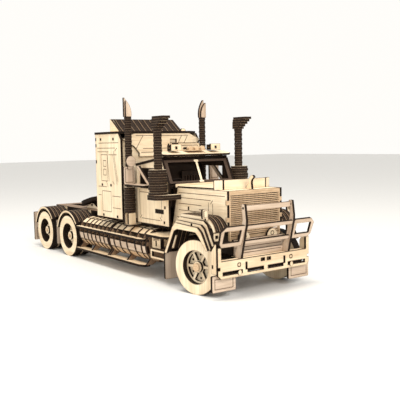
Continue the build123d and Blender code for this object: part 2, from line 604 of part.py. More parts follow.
guard_half, wing_reach, wing_angle = 31.0, 10.5, 25.0
guard_front = 11.0
guard_wings = []
for side in (-1, 1):
    wing_plane = Plane(origin=(FRONT_AXLE_X + guard_front - PLY, side * (guard_half + 0.1), 0),
                       x_dir=(-sin(radians(wing_angle)), side * cos(radians(wing_angle)), 0),
                       z_dir=(side * cos(radians(wing_angle)), sin(radians(wing_angle)), 0))
    guard_wings.append(box_plate(wing_plane, 0.4, HOOD_TOP + GLUE, wing_reach, 127.3, thickness=side * PLY))
stone_guard = node(
    box_plate(cross_plane(guard_front - PLY), -guard_half, HOOD_TOP + GLUE, guard_half, 127.3),
    *guard_wings)

with BuildPart() as hood_ornament:
    with BuildSketch(side_plane(1.5)):
        with BuildLine():
            Polyline((14, HOOD_TOP), (24, HOOD_TOP), (23, 123))
            ThreePointArc((23, 123), (24.6, 127.4), (28, 129.6))
            Line((28, 129.6), (25.6, 132.2))
            ThreePointArc((25.6, 132.2), (20.4, 129.4), (18.6, 124))
            Line((18.6, 124), (14, HOOD_TOP))
        make_face()
    extrude(amount=PLY)

# ------------------------------------------------------------------------ front wheel arches
arch_plate = [(-57.4, 40), (-40, 72.5), (-34, 78.2), (9.5, 76.4), (16.6, 71.6), (28.4, 52.8),
              (25, 52), (12.4, 66.4), (6, 70.8), (-30, 71.2), (-36.4, 68.4), (-53, 40)]
panel_plate = [(-56, 42), (-39, 77), (-35, 81.2), (12, 79.4), (18, 75.4), (30, 54), (26.6, 53.4),
               (13, 67.8), (7, 72.4), (-31, 73), (-38, 69.6), (-52.6, 42)]
rim_plate = [(-46, 62), (-37, 82.4), (-33, 84.8), (14, 83.6), (20, 79.6), (32, 58), (28.8, 57),
             (15, 73.2), (8, 77.2), (-31, 78), (-36, 75), (-42.6, 62)]
fender_plates = node(*pair(
    cut_plate(side_plane(-66.1), arch_plate, corner=0.8),
    cut_plate(side_plane(-63.05), panel_plate, corner=0.8, slots=[(-6.4, 73.2, -3.4, 79.4)]),
    cut_plate(side_plane(-60.0), rim_plate, corner=0.8)))

SKIN_LAMINATIONS = 6
skin_inner = HOOD_Y + 0.4
skin_outer = 59.9
skin_step = (skin_outer - skin_inner) / SKIN_LAMINATIONS


def fender_skin():
    """Laminated skin over and behind a front wheel, its glue lines showing as fine grooves."""
    grooves = [skin_inner + layer * skin_step for layer in range(1, SKIN_LAMINATIONS)]
    with BuildPart() as skin:
        with BuildSketch(side_plane(-skin_inner)):
            with BuildLine():
                Polyline((-55.5, 46), (-40, 80), (-34, 88.2), (10, 88.2))
                ThreePointArc((10, 88.2), (22.6, 84.2), (31, 72.6))
                Line((31, 72.6), (27.2, 71.4))
                ThreePointArc((27.2, 71.4), (19.8, 80.8), (9, 84))
                Polyline((9, 84), (-32, 84), (-36.4, 77), (-51, 45), (-55.5, 46))
            make_face()
        extrude(amount=skin_outer - skin_inner)
        for y in grooves:
            with BuildSketch(side_plane(-y + 0.15)):
                with BuildLine():
                    Polyline((-57.4, 43.6), (-41.5, 80.2), (-34.4, 88.6), (10, 88.6))
                    ThreePointArc((10, 88.6), (23, 84.5), (31.6, 72.4))
                    Line((31.6, 72.4), (30.6, 72))
                    ThreePointArc((30.6, 72), (22.3, 83.8), (10, 87.8))
                    Polyline((10, 87.8), (-33.9, 87.8), (-39.5, 79.8), (-56, 43.6), (-57.4, 43.6))
                make_face()
            extrude(amount=0.3, mode=Mode.SUBTRACT)
    return skin.part


fender_skins = node(*pair(fender_skin()))


def marker_lamp():
    """Indicator lamp on a short stem, facing forward, with a smaller lens plate on its front."""
    with BuildPart() as lamp:
        with BuildSketch(cross_plane(15.5)) as housing:
            rect(-67.4, 86.6, -60.0, 97.2)
            fillet(housing.vertices(), 1.4)
            rect(-62.9, 84.6, -60.1, 88)
        extrude(amount=PLY)
        with BuildSketch(cross_plane(15.5 + LAYER)) as lens:
            rect(-66.2, 88, -61.4, 95.8)
            fillet(lens.vertices(), 1.0)
        extrude(amount=1.2)
    return lamp.part


def half_disc():
    """Half-round driving lamp standing on the valance."""
    base = 62 + GLUE
    with BuildPart() as lamp:
        with BuildSketch(cross_plane(31)):
            with Locations((-20.8, base)):
                Circle(8)
            rect(-30, 50, -11, base, mode=Mode.SUBTRACT)
        extrude(amount=PLY)
        with BuildSketch(cross_plane(31 + PLY)):
            with Locations((-20.8, 64.8)):
                Circle(2.6)
                Circle(2.0, mode=Mode.SUBTRACT)
        extrude(amount=-ENGRAVE, mode=Mode.SUBTRACT)
    return lamp.part


lamps = node(*pair(
    marker_lamp(), half_disc(),
    box_plate(cross_plane(24.5), -59.95, 61.8, -51, 71.2, corner=0.6, slots=[(-57.3, 64.8, -53.7, 68.2)])))

# ------------------------------------------------------------------------ rear wheel arches
def arch_band(station, plane, outer, thickness, start, end, depth):
    """Arched band around a rear wheel between two angles, measured from straight ahead."""
    def on_arc(radius, angle):
        return (station + radius * cos(radians(angle)), AXLE_Z + radius * sin(radians(angle)))

    middle = (start + end) / 2
    inner = outer - depth
    with BuildPart() as band:
        with BuildSketch(plane):
            with BuildLine():
                ThreePointArc(on_arc(outer, start), on_arc(outer, middle), on_arc(outer, end))
                Line(on_arc(outer, end), on_arc(inner, end))
                ThreePointArc(on_arc(inner, end), on_arc(inner, middle), on_arc(inner, start))
                Line(on_arc(inner, start), on_arc(outer, start))
            make_face()
        extrude(amount=thickness)
    return band.part


REAR_SKIN_INNER = 38.0
REAR_SKIN_OUTER = 62.9
REAR_LAMINATIONS = 8


def rear_skin(station):
    """Laminated top of a rear wheel arch with its glue lines."""
    with BuildPart() as skin:
        add(arch_band(station, side_plane(-REAR_SKIN_INNER), FENDER_R,
                      REAR_SKIN_OUTER - REAR_SKIN_INNER, 38, 150, 3.6))
        for layer in range(1, REAR_LAMINATIONS):
            y = REAR_SKIN_INNER + layer * (REAR_SKIN_OUTER - REAR_SKIN_INNER) / REAR_LAMINATIONS
            add(arch_band(station, side_plane(-y + 0.15), FENDER_R + 0.4, 0.3, 36, 152, 0.8),
                mode=Mode.SUBTRACT)
    return skin.part


rear_arch_ribs = node(*pair(*[
    arch_band(station, side_plane(-y), radius, PLY, 34, 164, 3.2)
    for station in REAR_AXLES for y, radius in ((63.0, FENDER_R - 0.2), (66.05, FENDER_R + 0.2))],
    *[box_plate(cross_plane(station - 1.5), -37.9, 62, -28.1, 68) for station in REAR_AXLES]))
rear_arch_skins = node(*pair(*[rear_skin(station) for station in REAR_AXLES]))

mudflaps = node(*pair(
    box_plate(cross_plane(37.5), -72.5, 8.6, -40, 26.9, corner=1.5, lines=[loop_of(-69, 12, -44, 23)]),
    box_plate(cross_plane(-60.9), -68, 7.5, -44, 40, corner=1.5),
    box_plate(cross_plane(-378), -67.5, 13.5, -40, 52, corner=1.5),
    box_plate(cross_plane(RAIL_REAR - LAYER), -68, 10, -38, 58, corner=1.5,
              lines=[loop_of(-64, 14, -42, 30)]),
    box_plate(cross_plane(RAIL_REAR), -60, 52, -RAIL_Y - LAYER, 58),
    box_plate(level_plane(47), -378, -39.9, -375, -27.1)))

# ------------------------------------------------------------------------ bumper and bull bar
post = WHEEL_FACE_Y + 0.2
bumper_windows = [(-62, 26.8, -34, 31), (-27, 26.8, -3, 31), (3, 26.8, 27, 31), (34, 26.8, 62, 31)]
bumper_outline = [(-post + 4, BUMPER_BOTTOM), (post - 4, BUMPER_BOTTOM), (post, BUMPER_BOTTOM + 4),
                  (post, 57.6), (post - 4.4, 57.6), (post - 4.4, BUMPER_TOP), (4.4 - post, BUMPER_TOP),
                  (4.4 - post, 57.6), (-post, 57.6), (-post, BUMPER_BOTTOM + 4)]
BOSS_Y, BOSS_Z, BOSS_R, BOSS_SIDES = 39.0, 36.6, 2.2, 16
boss_rings = [[(side * BOSS_Y + BOSS_R * cos(radians(360 / BOSS_SIDES * step)),
                BOSS_Z + BOSS_R * sin(radians(360 / BOSS_SIDES * step)))
               for step in range(BOSS_SIDES + 1)] for side in (-1, 1)]
bumper = node(
    cut_plate(cross_plane(BUMPER_X - PLY), bumper_outline, corner=0.9, lines=boss_rings,
              slots=bumper_windows + [(-7.4, 36.6, -1.4, 40.4), (1.6, 36.6, 7.6, 40.4),
                                      (-30, 30, -27.2, 38.6), (27.2, 30, 30, 38.6),
                                      (-post - 1, 33, -post + 3, 36.4), (post - 3, 33, post + 1, 36.4)]),
    *pair(box_plate(cross_plane(BUMPER_X + GLUE), -41.2, 25, -36.4, 31, corner=2.3, thickness=1.2)),
    cut_plate(level_plane(BUMPER_TOP - PLY), [(24, -34), (36.5, -34), (36.5, -62), (BUMPER_X - LAYER, -62),
                                              (BUMPER_X - LAYER, 62), (36.5, 62), (36.5, 34), (24, 34)]),
    box_plate(level_plane(27), 37, -60, BUMPER_X - LAYER, 60))
bumper_ends = node(*pair(cut_plate(
    side_plane(-post + PLY), [(33.3, 28.3), (BUMPER_X - LAYER, 28.3), (BUMPER_X - LAYER, 61.5),
                              (40.6, 61.5), (33.3, 52)],
    corner=0.6, slots=[(34.6, 34.4, 37, 38.2)]),
    box_plate(side_plane(-24), 24, 30.05, BUMPER_X - LAYER, BUMPER_TOP - LAYER)))

front_valance = node(
    box_plate(cross_plane(31), -37, 44, 37, 62, lines=[[(-24, 59), (14, 59)], [(-34, 53), (34, 53)]],
              slots=[(19.6, 56.4, 34.6, 60.4)]),
    box_plate(cross_plane(34.1), -33.7, BUMPER_TOP + GLUE, 33.7, 49.6, lines=[[(-31, 47), (31, 47)]]),
    box_plate(cross_plane(27.9), 17, 52, 36.6, 59.9),
    box_plate(cross_plane(18), -34, RAIL_TOP + GLUE, 34, 112,
              lines=[[(y, 68), (y, 110)] for y in range(-30, 31, 6)]))

UPRIGHT_Y = 35.3
BAR_LEAN = 19.0
bar_plane = Plane(origin=(FRONT_AXLE_X + 44.2, 0, 58), x_dir=(0, 1, 0),
                  z_dir=(cos(radians(BAR_LEAN)), 0, -sin(radians(BAR_LEAN))))
rail_half = UPRIGHT_Y - PLY / 2 - GLUE
wing_inner = UPRIGHT_Y + PLY / 2 + GLUE
wing_outline = [(-wing_inner, 0.8), (-wing_inner, 24.6), (-post + 5, 24.6), (-post - 1, 19), (-post, 5),
                (-post + 3, 0.8)]
bull_bar_wings = node(*pair(cut_plate(
    bar_plane, wing_outline, corner=1.4,
    slots=[(-post + 3.6, 5.6, -wing_inner - 4.4, 19.6), (-post - 1, 1.6, -post + 1.2, 3.8)])))
bull_bar = node(
    *pair(cut_plate(
        side_plane(-UPRIGHT_Y + PLY / 2), [(36, 42.6), (BUMPER_X, 42.6), (55, 81), (55.2, 86), (52.8, 103),
                                           (47.6, 103), (49.4, 86), (43, 62), (36, 50)],
        corner=1.2, holes=[(50.6, 98.6, 1.25)])),
    box_plate(bar_plane, -rail_half, 1.4, rail_half, 5.4),
    box_plate(bar_plane, -rail_half, 19.6, rail_half, 24),
    box_plate(cross_plane(47.8), -rail_half, 95.4, rail_half, 101.2))

# ------------------------------------------------------------------------ exhausts and intakes
def ripple(count, wide, narrow):
    """Disc radii that alternate between two sizes."""
    return [wide if layer % 2 else narrow for layer in range(count)]


def exhaust_tip(offset, height):
    """Upright blade on top of the stack: straight on its outer side, curving in to a point at the top."""
    x, y = EXHAUST
    base = 80.2 + 41 * LAYER + GLUE
    outer, inner = -y - 4.4, -y + 3.6
    hollow = (inner - 0.9, base + 0.52 * height)
    with BuildPart() as blade:
        with BuildSketch(cross_plane(x + offset)):
            with BuildLine():
                Line((inner, base), (outer, base))
                Line((outer, base), (outer, base + height))
                Line((outer, base + height), (outer + 0.9, base + height))
                ThreePointArc((outer + 0.9, base + height), hollow, (inner, base))
            make_face()
        extrude(amount=PLY)
    return blade.part


exhaust_stacks = node(*pair(
    disc_stack(EXHAUST[0], -EXHAUST[1], 80.2, ripple(11, 7.5, 7.1) + ripple(30, 4.7, 4.3)),
    box_plate(cross_plane(EXHAUST[0] + 3), -EXHAUST[1] - 6, 65.1, -EXHAUST[1] + 5, 80.1, corner=1),
    box_plate(cross_plane(EXHAUST[0] - 6), -EXHAUST[1] - 6, 65.1, -EXHAUST[1] + 5, 80.1, corner=1),
    box_plate(level_plane(62.6), -160, -66, -144, -RAIL_Y - LAYER, thickness=2.3)))
exhaust_tips = node(*pair(exhaust_tip(-4.4, 24.6), exhaust_tip(0.8, 20.4)))


SCOOP_LAYERS = ((-5.9, 5.9), (-5.9, 9.0), (-5.9, 13.5), (-5.2, 17.5), (-4.0, 21.0))
SCOOP_HALF = 5.9
elbow = [(-86, -74), (-68, -74), (-62, -66), (-60, -HOOD_Y - 0.1), (-70.6, -HOOD_Y - 0.1),
         (-71.6, -CAB_Y - 0.4), (-86, -CAB_Y - 0.4)]
intake_canisters = node(*pair(
    disc_stack(INTAKE[0], -INTAKE[1] - 1, 108, [11.8, 10.6, 11.8, 11.8, 10.9, 11.8, 11.8, 10.9, 11.8]),
    disc_stack(INTAKE[0], -INTAKE[1] - 1, 108 + 9 * LAYER, (11.0,)),
    *[cut_plate(level_plane(z), elbow, corner=1) for z in (101.85, 104.9)]))
intake_stacks = node(*pair(
    disc_stack(INTAKE[0], -INTAKE[1], 108 + 10 * LAYER, ripple(16, 5.3, 4.9)), *[
    box_plate(level_plane(108 + (26 + layer) * LAYER), INTAKE[0] + rear, -INTAKE[1] - SCOOP_HALF,
              INTAKE[0] + front, -INTAKE[1] + SCOOP_HALF, corner=2)
    for layer, (rear, front) in enumerate(SCOOP_LAYERS)]))

# ------------------------------------------------------------------------ mirrors
MIRROR_X = -137.0


def mirror_disc():
    """Round wide-angle mirror above the flat one."""
    with BuildPart() as disc:
        with BuildSketch(cross_plane(MIRROR_X + 1.5)):
            with Locations((-67.4, 148)):
                Circle(7)
        extrude(amount=2)
    return disc.part


mirrors = node(*pair(
    box_plate(cross_plane(MIRROR_X - PLY), -76.4, 118.6, -60.6, 141, corner=1,
              lines=[loop_of(-74, 121, -63, 138.6)]),
    cut_plate(cross_plane(MIRROR_X + GLUE), [(-71, 138), (-64, 138), (-64, 143), (-71, 143)],
              thickness=1.4),
    box_plate(level_plane(116), -146.4, -71, -99, -CAB_Y - GLUE, corner=1, thickness=2.3),
    cut_plate(side_plane(-57.4), [(-106.6, 118.4), (-100, 118.4), (-127.4, 142), (-133, 142),
                                  (-133, 138.8), (-130.4, 138.8)]),
    mirror_disc()))
# ------------------------------------------------------------------------ fifth wheel
PIVOT = (-352.0, 73.5)
TILT = 12.6                # rear edge resting down
stand_outline = [(-378, DECK_TOP + 2 * GLUE), (-326, DECK_TOP + 2 * GLUE), (-334, 70.4), (-348.6, 76.4),
                 (-355.4, 76.4), (-370, 70.4)]
with BuildPart() as pivot_pin:
    with BuildSketch(side_plane(16.5)):
        with Locations(PIVOT):
            Circle(1.5)
    extrude(amount=33)
fifth_wheel_stand = node(pivot_pin.part, *pair(cut_plate(side_plane(-12), stand_outline, corner=0.8,
                                                         holes=[(*PIVOT, 1.56)])))
plate_plane = Plane(origin=(FRONT_AXLE_X + PIVOT[0], 0, PIVOT[1]),
                    x_dir=(cos(radians(TILT)), 0, sin(radians(TILT))),
                    z_dir=(-sin(radians(TILT)), 0, cos(radians(TILT))))
KINGPIN_THROAT_R = 1.6
plate_outline = [(-28, -20), (-10, -24), (18, -24), (26, -16), (26, 16), (18, 24), (-10, 24), (-28, 20),
                 (-28, 7), (-14, KINGPIN_THROAT_R), (-14, -KINGPIN_THROAT_R), (-28, -7)]
with BuildPart() as fifth_wheel_plate:
    for height in (4.6, 4.6 + LAYER):
        with BuildSketch(plate_plane.offset(height)):
            Polygon(*plate_outline, align=None)
            rect(-16, -KINGPIN_THROAT_R, -2, KINGPIN_THROAT_R, mode=Mode.SUBTRACT)
            with Locations((-2, 0)):
                Circle(KINGPIN_THROAT_R, mode=Mode.SUBTRACT)
    extrude(amount=PLY)
    for y in (-8.4, 11.4):
        with BuildSketch(Plane(origin=plate_plane.origin + Vector(0, y, 0), x_dir=plate_plane.x_dir,
                               z_dir=(0, -1, 0))):
            Polygon((-6, -2.8), (6, -2.8), (9, 4.6), (-9, 4.6), align=None)
            Circle(1.56, mode=Mode.SUBTRACT)
    extrude(amount=PLY)

# ------------------------------------------------------------------------ write the pieces
NODES = dict(
    chassis_rails=chassis_rails, chassis_crossmembers=chassis_crossmembers, rear_deck=rear_deck,
    front_axle_beam=front_axle_beam, rear_axle_brackets=rear_axle_brackets, knuckle_right=knuckle_right,
    knuckle_left=knuckle_left, tie_rod=tie_rod, front_tyre_right=front_tyre_right,
    front_tyre_left=front_tyre_left, front_rim_right=front_rim_right, front_rim_left=front_rim_left,
    drive_axle_1=drive_axle_1, drive_tyres_1=drive_tyres_1, drive_axle_2=drive_axle_2,
    drive_tyres_2=drive_tyres_2, fuel_tank_ribs=fuel_tank_ribs, fuel_tank_planks=fuel_tank_planks,
    tank_steps=tank_steps, toolboxes=toolboxes, cab_floor=cab_floor, cab_sides=cab_sides,
    cab_bulkheads=cab_bulkheads, windscreen_frame=windscreen_frame, cab_roof=cab_roof,
    sun_visor=sun_visor, roof_lamps=roof_lamps, roof_unit=roof_unit, seats=seats, dashboard=dashboard,
    sleeper_sides=sleeper_sides, sleeper_shelves=sleeper_shelves, sleeper_back=sleeper_back,
    sleeper_front=sleeper_front, sleeper_roof=sleeper_roof, roof_deflector=roof_deflector,
    hood_sides=hood_sides, hood_top=hood_top, grille=grille, stone_guard=stone_guard,
    hood_ornament=hood_ornament, fender_plates=fender_plates, fender_skins=fender_skins, lamps=lamps,
    rear_arch_ribs=rear_arch_ribs, rear_arch_skins=rear_arch_skins, mudflaps=mudflaps, bumper=bumper,
    bumper_ends=bumper_ends, front_valance=front_valance, bull_bar=bull_bar,
    bull_bar_wings=bull_bar_wings, exhaust_stacks=exhaust_stacks, exhaust_tips=exhaust_tips,
    intake_canisters=intake_canisters, intake_stacks=intake_stacks, mirrors=mirrors,
    fifth_wheel_stand=fifth_wheel_stand, fifth_wheel_plate=fifth_wheel_plate)

for label, piece in NODES.items():
    piece.part.label = label
    export_step(piece.part, f"parts/{label}.step")
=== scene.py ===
"""Laser-cut plywood truck kit: wood and scorched-edge materials, light, floor and camera."""
import functools
import json
import math

import bpy
from mathutils import Matrix, Vector

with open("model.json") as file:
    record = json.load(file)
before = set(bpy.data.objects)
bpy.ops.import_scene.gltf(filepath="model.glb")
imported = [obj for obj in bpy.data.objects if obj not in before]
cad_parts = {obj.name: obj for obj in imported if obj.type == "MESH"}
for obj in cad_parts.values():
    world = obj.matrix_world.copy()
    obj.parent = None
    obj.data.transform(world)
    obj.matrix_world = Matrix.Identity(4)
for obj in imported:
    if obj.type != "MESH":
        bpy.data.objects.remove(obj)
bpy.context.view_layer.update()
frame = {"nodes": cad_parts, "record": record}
nodes = frame["nodes"]
joint_places = {joint["name"]: joint["pos_m"] for joint in frame["record"]["behaviour"]["joints"]}

MM = 0.001
FRONT_AXLE = joint_places["steer_right"][0]      # front axle station, metres from the origin
PLY = 3.0 * MM
GLUE = 0.05 * MM                                 # gap between glued sheets
LAYER = PLY + GLUE                               # pitch of stacked sheets

# ------------------------------------------------------------------ camera
CAMERA_YAW = math.radians(53.87)                 # from the truck's right side, round towards its front
CAMERA_PITCH = math.radians(5.073)
CAMERA_ROLL = math.radians(-1.040)
CAMERA_OFFSET = (0.5727, -0.4752, 0.1688)        # from the ground under the middle of the front axle
CAMERA_LENS = 57.12                              # millimetres, as is the sensor's width
CAMERA_SENSOR = 36.0


def place_camera():
    """Camera off the truck's right front corner, a little above it and nearly level."""
    level = math.cos(CAMERA_PITCH)
    back = Vector((math.sin(CAMERA_YAW) * level, -math.cos(CAMERA_YAW) * level, math.sin(CAMERA_PITCH)))
    forward = -back
    right = forward.cross(Vector((0, 0, 1))).normalized()
    up = right.cross(forward)
    cam_x = math.cos(CAMERA_ROLL) * right + math.sin(CAMERA_ROLL) * up
    cam_y = -math.sin(CAMERA_ROLL) * right + math.cos(CAMERA_ROLL) * up
    data = bpy.data.cameras.new("camera")
    data.lens = CAMERA_LENS
    data.sensor_width = CAMERA_SENSOR
    camera = bpy.data.objects.new("camera", data)
    place = Matrix((cam_x, cam_y, back)).transposed().to_4x4()
    ahead, side, height = CAMERA_OFFSET
    place.translation = Vector((ahead + FRONT_AXLE, side, height))
    camera.matrix_world = place
    bpy.context.scene.collection.objects.link(camera)
    bpy.context.scene.camera = camera


place_camera()


# ------------------------------------------------------------------ material building blocks
class Tree:
    """A small helper around one material's node tree."""

    SETTINGS = ("operation", "samples", "inside", "only_local")

    def __init__(self, name):
        self.material = bpy.data.materials.new(name)
        self.material.use_nodes = True
        self.nodes = self.material.node_tree.nodes
        self.links = self.material.node_tree.links
        self.shader = self.nodes["Principled BSDF"]
        self.coord = self.add("ShaderNodeTexCoord").outputs["Object"]

    def add(self, kind, **values):
        """A new node: names in SETTINGS set the node itself, and all others its inputs."""
        made = self.nodes.new(kind)
        for key, value in values.items():
            if key in self.SETTINGS:
                setattr(made, key, value)
            else:
                made.inputs[key.replace("_", " ")].default_value = value
        return made

    def link(self, source, target):
        self.links.new(source, target)

    def mapped(self, scale):
        mapping = self.add("ShaderNodeMapping", Scale=scale)
        self.link(self.coord, mapping.inputs["Vector"])
        return mapping.outputs["Vector"]

    def noise(self, vector, scale, detail, roughness=0.55, distortion=0.0):
        made = self.add("ShaderNodeTexNoise", Scale=scale, Detail=detail, Roughness=roughness,
                        Distortion=distortion)
        self.link(vector, made.inputs["Vector"])
        return made.outputs["Fac"]

    def ramp(self, value, stops):
        made = self.nodes.new("ShaderNodeValToRGB")
        elements = made.color_ramp.elements
        while len(elements) < len(stops):
            elements.new(0.5)
        for element, (position, colour) in zip(elements, stops):
            element.position = position
            element.color = (*colour, 1)
        self.link(value, made.inputs["Fac"])
        return made.outputs["Color"]

    def math(self, operation, a, b=None):
        made = self.nodes.new("ShaderNodeMath")
        made.operation = operation
        for slot, value in zip(made.inputs, (a, b)):
            if value is None:
                continue
            if isinstance(value, (int, float)):
                slot.default_value = value
            else:
                self.link(value, slot)
        return made.outputs["Value"]

    def mix(self, factor, a, b, blend="MIX"):
        made = self.nodes.new("ShaderNodeMix")
        made.data_type = "RGBA"
        made.blend_type = blend
        for slot, value in ((made.inputs["Factor"], factor), (made.inputs["A"], a), (made.inputs["B"], b)):
            if isinstance(value, (int, float)):
                slot.default_value = value
            elif isinstance(value, tuple):
                slot.default_value = (*value, 1)
            else:
                self.link(value, slot)
        return made.outputs["Result"]

    def bump(self, height, distance, strength):
        made = self.add("ShaderNodeBump", Strength=strength, Distance=distance)
        self.link(height, made.inputs["Height"])
        self.link(made.outputs["Normal"], self.shader.inputs["Normal"])

    def finish(self, colour, roughness, specular=0.25):
        self.link(colour, self.shader.inputs["Base Color"])
        if isinstance(roughness, float):
            self.shader.inputs["Roughness"].default_value = roughness
        else:
            self.link(roughness, self.shader.inputs["Roughness"])
        self.shader.inputs["Specular IOR Level"].default_value = specular
        return self.material


# ------------------------------------------------------------------ plywood materials
GRAIN_SCALES = {"X": (26, 900, 900), "Y": (900, 26, 900), "Z": (900, 900, 26)}
FIGURE_SCALES = {"X": (9, 120, 120), "Y": (120, 9, 120), "Z": (120, 120, 9)}
DOWEL_SCALES = (700, 60, 700)
WHITE = (1, 1, 1)
BLACK = (0, 0, 0)
TONES = {                                        # darkest and lightest veneer
    "pale": ((0.74, 0.585, 0.39), (0.90, 0.765, 0.56)),
    "warm": ((0.70, 0.535, 0.35), (0.86, 0.705, 0.49)),
    "smoked": ((0.52, 0.395, 0.29), (0.68, 0.545, 0.42)),
    # the next two tones are darkened veneer that stands in for shade: painted shade
    "half_shade": ((0.20, 0.125, 0.078), (0.33, 0.225, 0.145)),
    "shaded": ((0.040, 0.024, 0.016), (0.085, 0.052, 0.033)),
}
FIBRE = (0.72, 0.66, 0.60)                       # shade between the fibres
CLOUD = (0.86, 0.83, 0.79)                       # shade in the darker blotches
SCORCH = (0.085, 0.038, 0.018)
SCORCH_REACH = 0.9 * MM                          # how far a cut edge scorches the face beside it
CHAR = ((0.006, 0.004, 0.003), (0.024, 0.014, 0.009))
SOOT = (0.50, 0.46, 0.43)
GLUE_LINE = (0.31, 0.200, 0.118)
LAYER_CHAR = ((0.012, 0.008, 0.006), (0.034, 0.020, 0.013), (0.010, 0.007, 0.005))    # across one layer
TOAST = ((0.060, 0.030, 0.016), (0.145, 0.078, 0.042))
DOWEL = ((0.42, 0.27, 0.15), (0.66, 0.48, 0.30))
PILLAR_HALF = 3.4 * MM             # the windscreen's bright centre pillar, each side of the middle
layered_edges = {}


def grain_streaks(tree, axis):
    """Long fine fibres along one axis."""
    return tree.noise(tree.mapped(GRAIN_SCALES[axis]), 1.0, 5.0, 0.62, 0.15)


@functools.cache
def plywood_face(tone, axis):
    """Sanded birch veneer: streaks along the grain, broad figure, blotches, and scorched rims."""
    tree = Tree(f"birch_{tone}_{axis}")
    dark, light = TONES[tone]
    streaks = grain_streaks(tree, axis)
    figure = tree.noise(tree.mapped(FIGURE_SCALES[axis]), 1.0, 3.0, 0.5, 0.9)
    blotch = tree.noise(tree.coord, 38.0, 2.0)
    base = tree.ramp(figure, [(0.30, dark), (0.68, light)])
    fibre = tree.ramp(streaks, [(0.34, FIBRE), (0.56, WHITE)])
    veneer = tree.mix(0.55, base, fibre, "MULTIPLY")
    clouds = tree.ramp(blotch, [(0.32, CLOUD), (0.66, WHITE)])
    veneer = tree.mix(0.8, veneer, clouds, "MULTIPLY")
    rim = tree.add("ShaderNodeAmbientOcclusion", samples=4, inside=True, only_local=True,
                   Distance=SCORCH_REACH)
    scorched = tree.ramp(rim.outputs["AO"], [(0.45, WHITE), (0.88, BLACK)])
    veneer = tree.mix(scorched, veneer, SCORCH)
    rough = tree.math("ADD", tree.math("MULTIPLY", streaks, 0.22), 0.52)
    tree.bump(tree.math("ADD", streaks, tree.math("MULTIPLY", figure, 0.4)), 0.12 * MM, 0.35)
    return tree.finish(veneer, rough)


def layer_phase(tree, normal, start, pitch):
    """Sawtooth across glued sheets, a little wavy: it climbs from 0 to 1 once in every pitch."""
    across = tree.add("ShaderNodeVectorMath", operation="DOT_PRODUCT")
    tree.link(tree.coord, across.inputs[0])
    across.inputs[1].default_value = normal
    wobble = tree.noise(tree.coord, 260.0, 2.0)
    depth = tree.math("MULTIPLY", tree.math("SUBTRACT", across.outputs["Value"], start), 1 / pitch)
    return tree.math("FRACT", tree.math("ADD", depth, tree.math("MULTIPLY", wobble, 0.06)))


@functools.cache
def burnt_edge():
    """Laser-cut edge: charred almost black, with patches of soot."""
    tree = Tree("burnt_edge")
    soot = tree.noise(tree.coord, 900.0, 4.0, 0.7)
    char = tree.ramp(soot, [(0.30, CHAR[0]), (0.70, CHAR[1])])
    tree.bump(soot, 0.06 * MM, 0.4)
    return tree.finish(char, 0.75, 0.1)


def layered_edge(normal, start, pitch, line_share):
    """Edges of many sheets glued together: charred, with a thin light glue line once in every pitch."""
    start = round(start % pitch, 4)
    direction = "_".join(f"{c:.2f}" for c in normal)
    key = f"layered_edge_{direction}_{start * 1e4:.0f}_{line_share * 100:.0f}"
    if key in layered_edges:
        return layered_edges[key]
    tree = Tree(key)
    band = layer_phase(tree, normal, start, pitch)
    near, middle, far = LAYER_CHAR
    char = tree.ramp(band, [(0.00, GLUE_LINE), (line_share * 0.4, GLUE_LINE), (line_share, near),
                            (0.50, middle), (0.90, far)])
    soot = tree.noise(tree.coord, 420.0, 4.0, 0.65)
    char = tree.mix(0.5, char, tree.ramp(soot, [(0.30, SOOT), (0.70, WHITE)]), "MULTIPLY")
    tree.bump(tree.math("ADD", soot, band), 0.05 * MM, 0.4)
    layered_edges[key] = tree.finish(char, 0.72, 0.12)
    return layered_edges[key]


@functools.cache
def engraved(axis):
    """Floor of a laser-engraved line: toasted brown."""
    tree = Tree(f"engraved_{axis}")
    streaks = tree.noise(tree.mapped(GRAIN_SCALES[axis]), 1.0, 4.0, 0.6)
    toast = tree.ramp(streaks, [(0.32, TOAST[0]), (0.66, TOAST[1])])
    tree.bump(streaks, 0.08 * MM, 0.5)
    return tree.finish(toast, 0.8, 0.1)


@functools.cache
def screen_wood():
    """The windscreen frame: a surround darkened to the shaded tone as painted shade, with a pale centre
    pillar.
    """
    tree = Tree("screen_wood")
    separate = tree.add("ShaderNodeSeparateXYZ")
    tree.link(tree.coord, separate.inputs["Vector"])
    outside = tree.math("GREATER_THAN", tree.math("ABSOLUTE", separate.outputs["Y"]), PILLAR_HALF)
    streaks = grain_streaks(tree, "Z")
    pillar, surround = (tree.ramp(streaks, [(0.3, dark), (0.6, light)])
                        for dark, light in (TONES["pale"], TONES["shaded"]))
    tree.bump(streaks, 0.12 * MM, 0.3)
    return tree.finish(tree.mix(outside, pillar, surround), 0.62)


@functools.cache
def turned_wood():
    """Dowels and other solids that aren't flat sheet: brown, with streaks along the truck's width."""
    tree = Tree("dowel_wood")
    streaks = tree.noise(tree.mapped(DOWEL_SCALES), 1.0, 5.0, 0.6, 0.2)
    colour = tree.ramp(streaks, [(0.30, DOWEL[0]), (0.66, DOWEL[1])])
    tree.bump(streaks, 0.1 * MM, 0.4)
    return tree.finish(colour, 0.6)


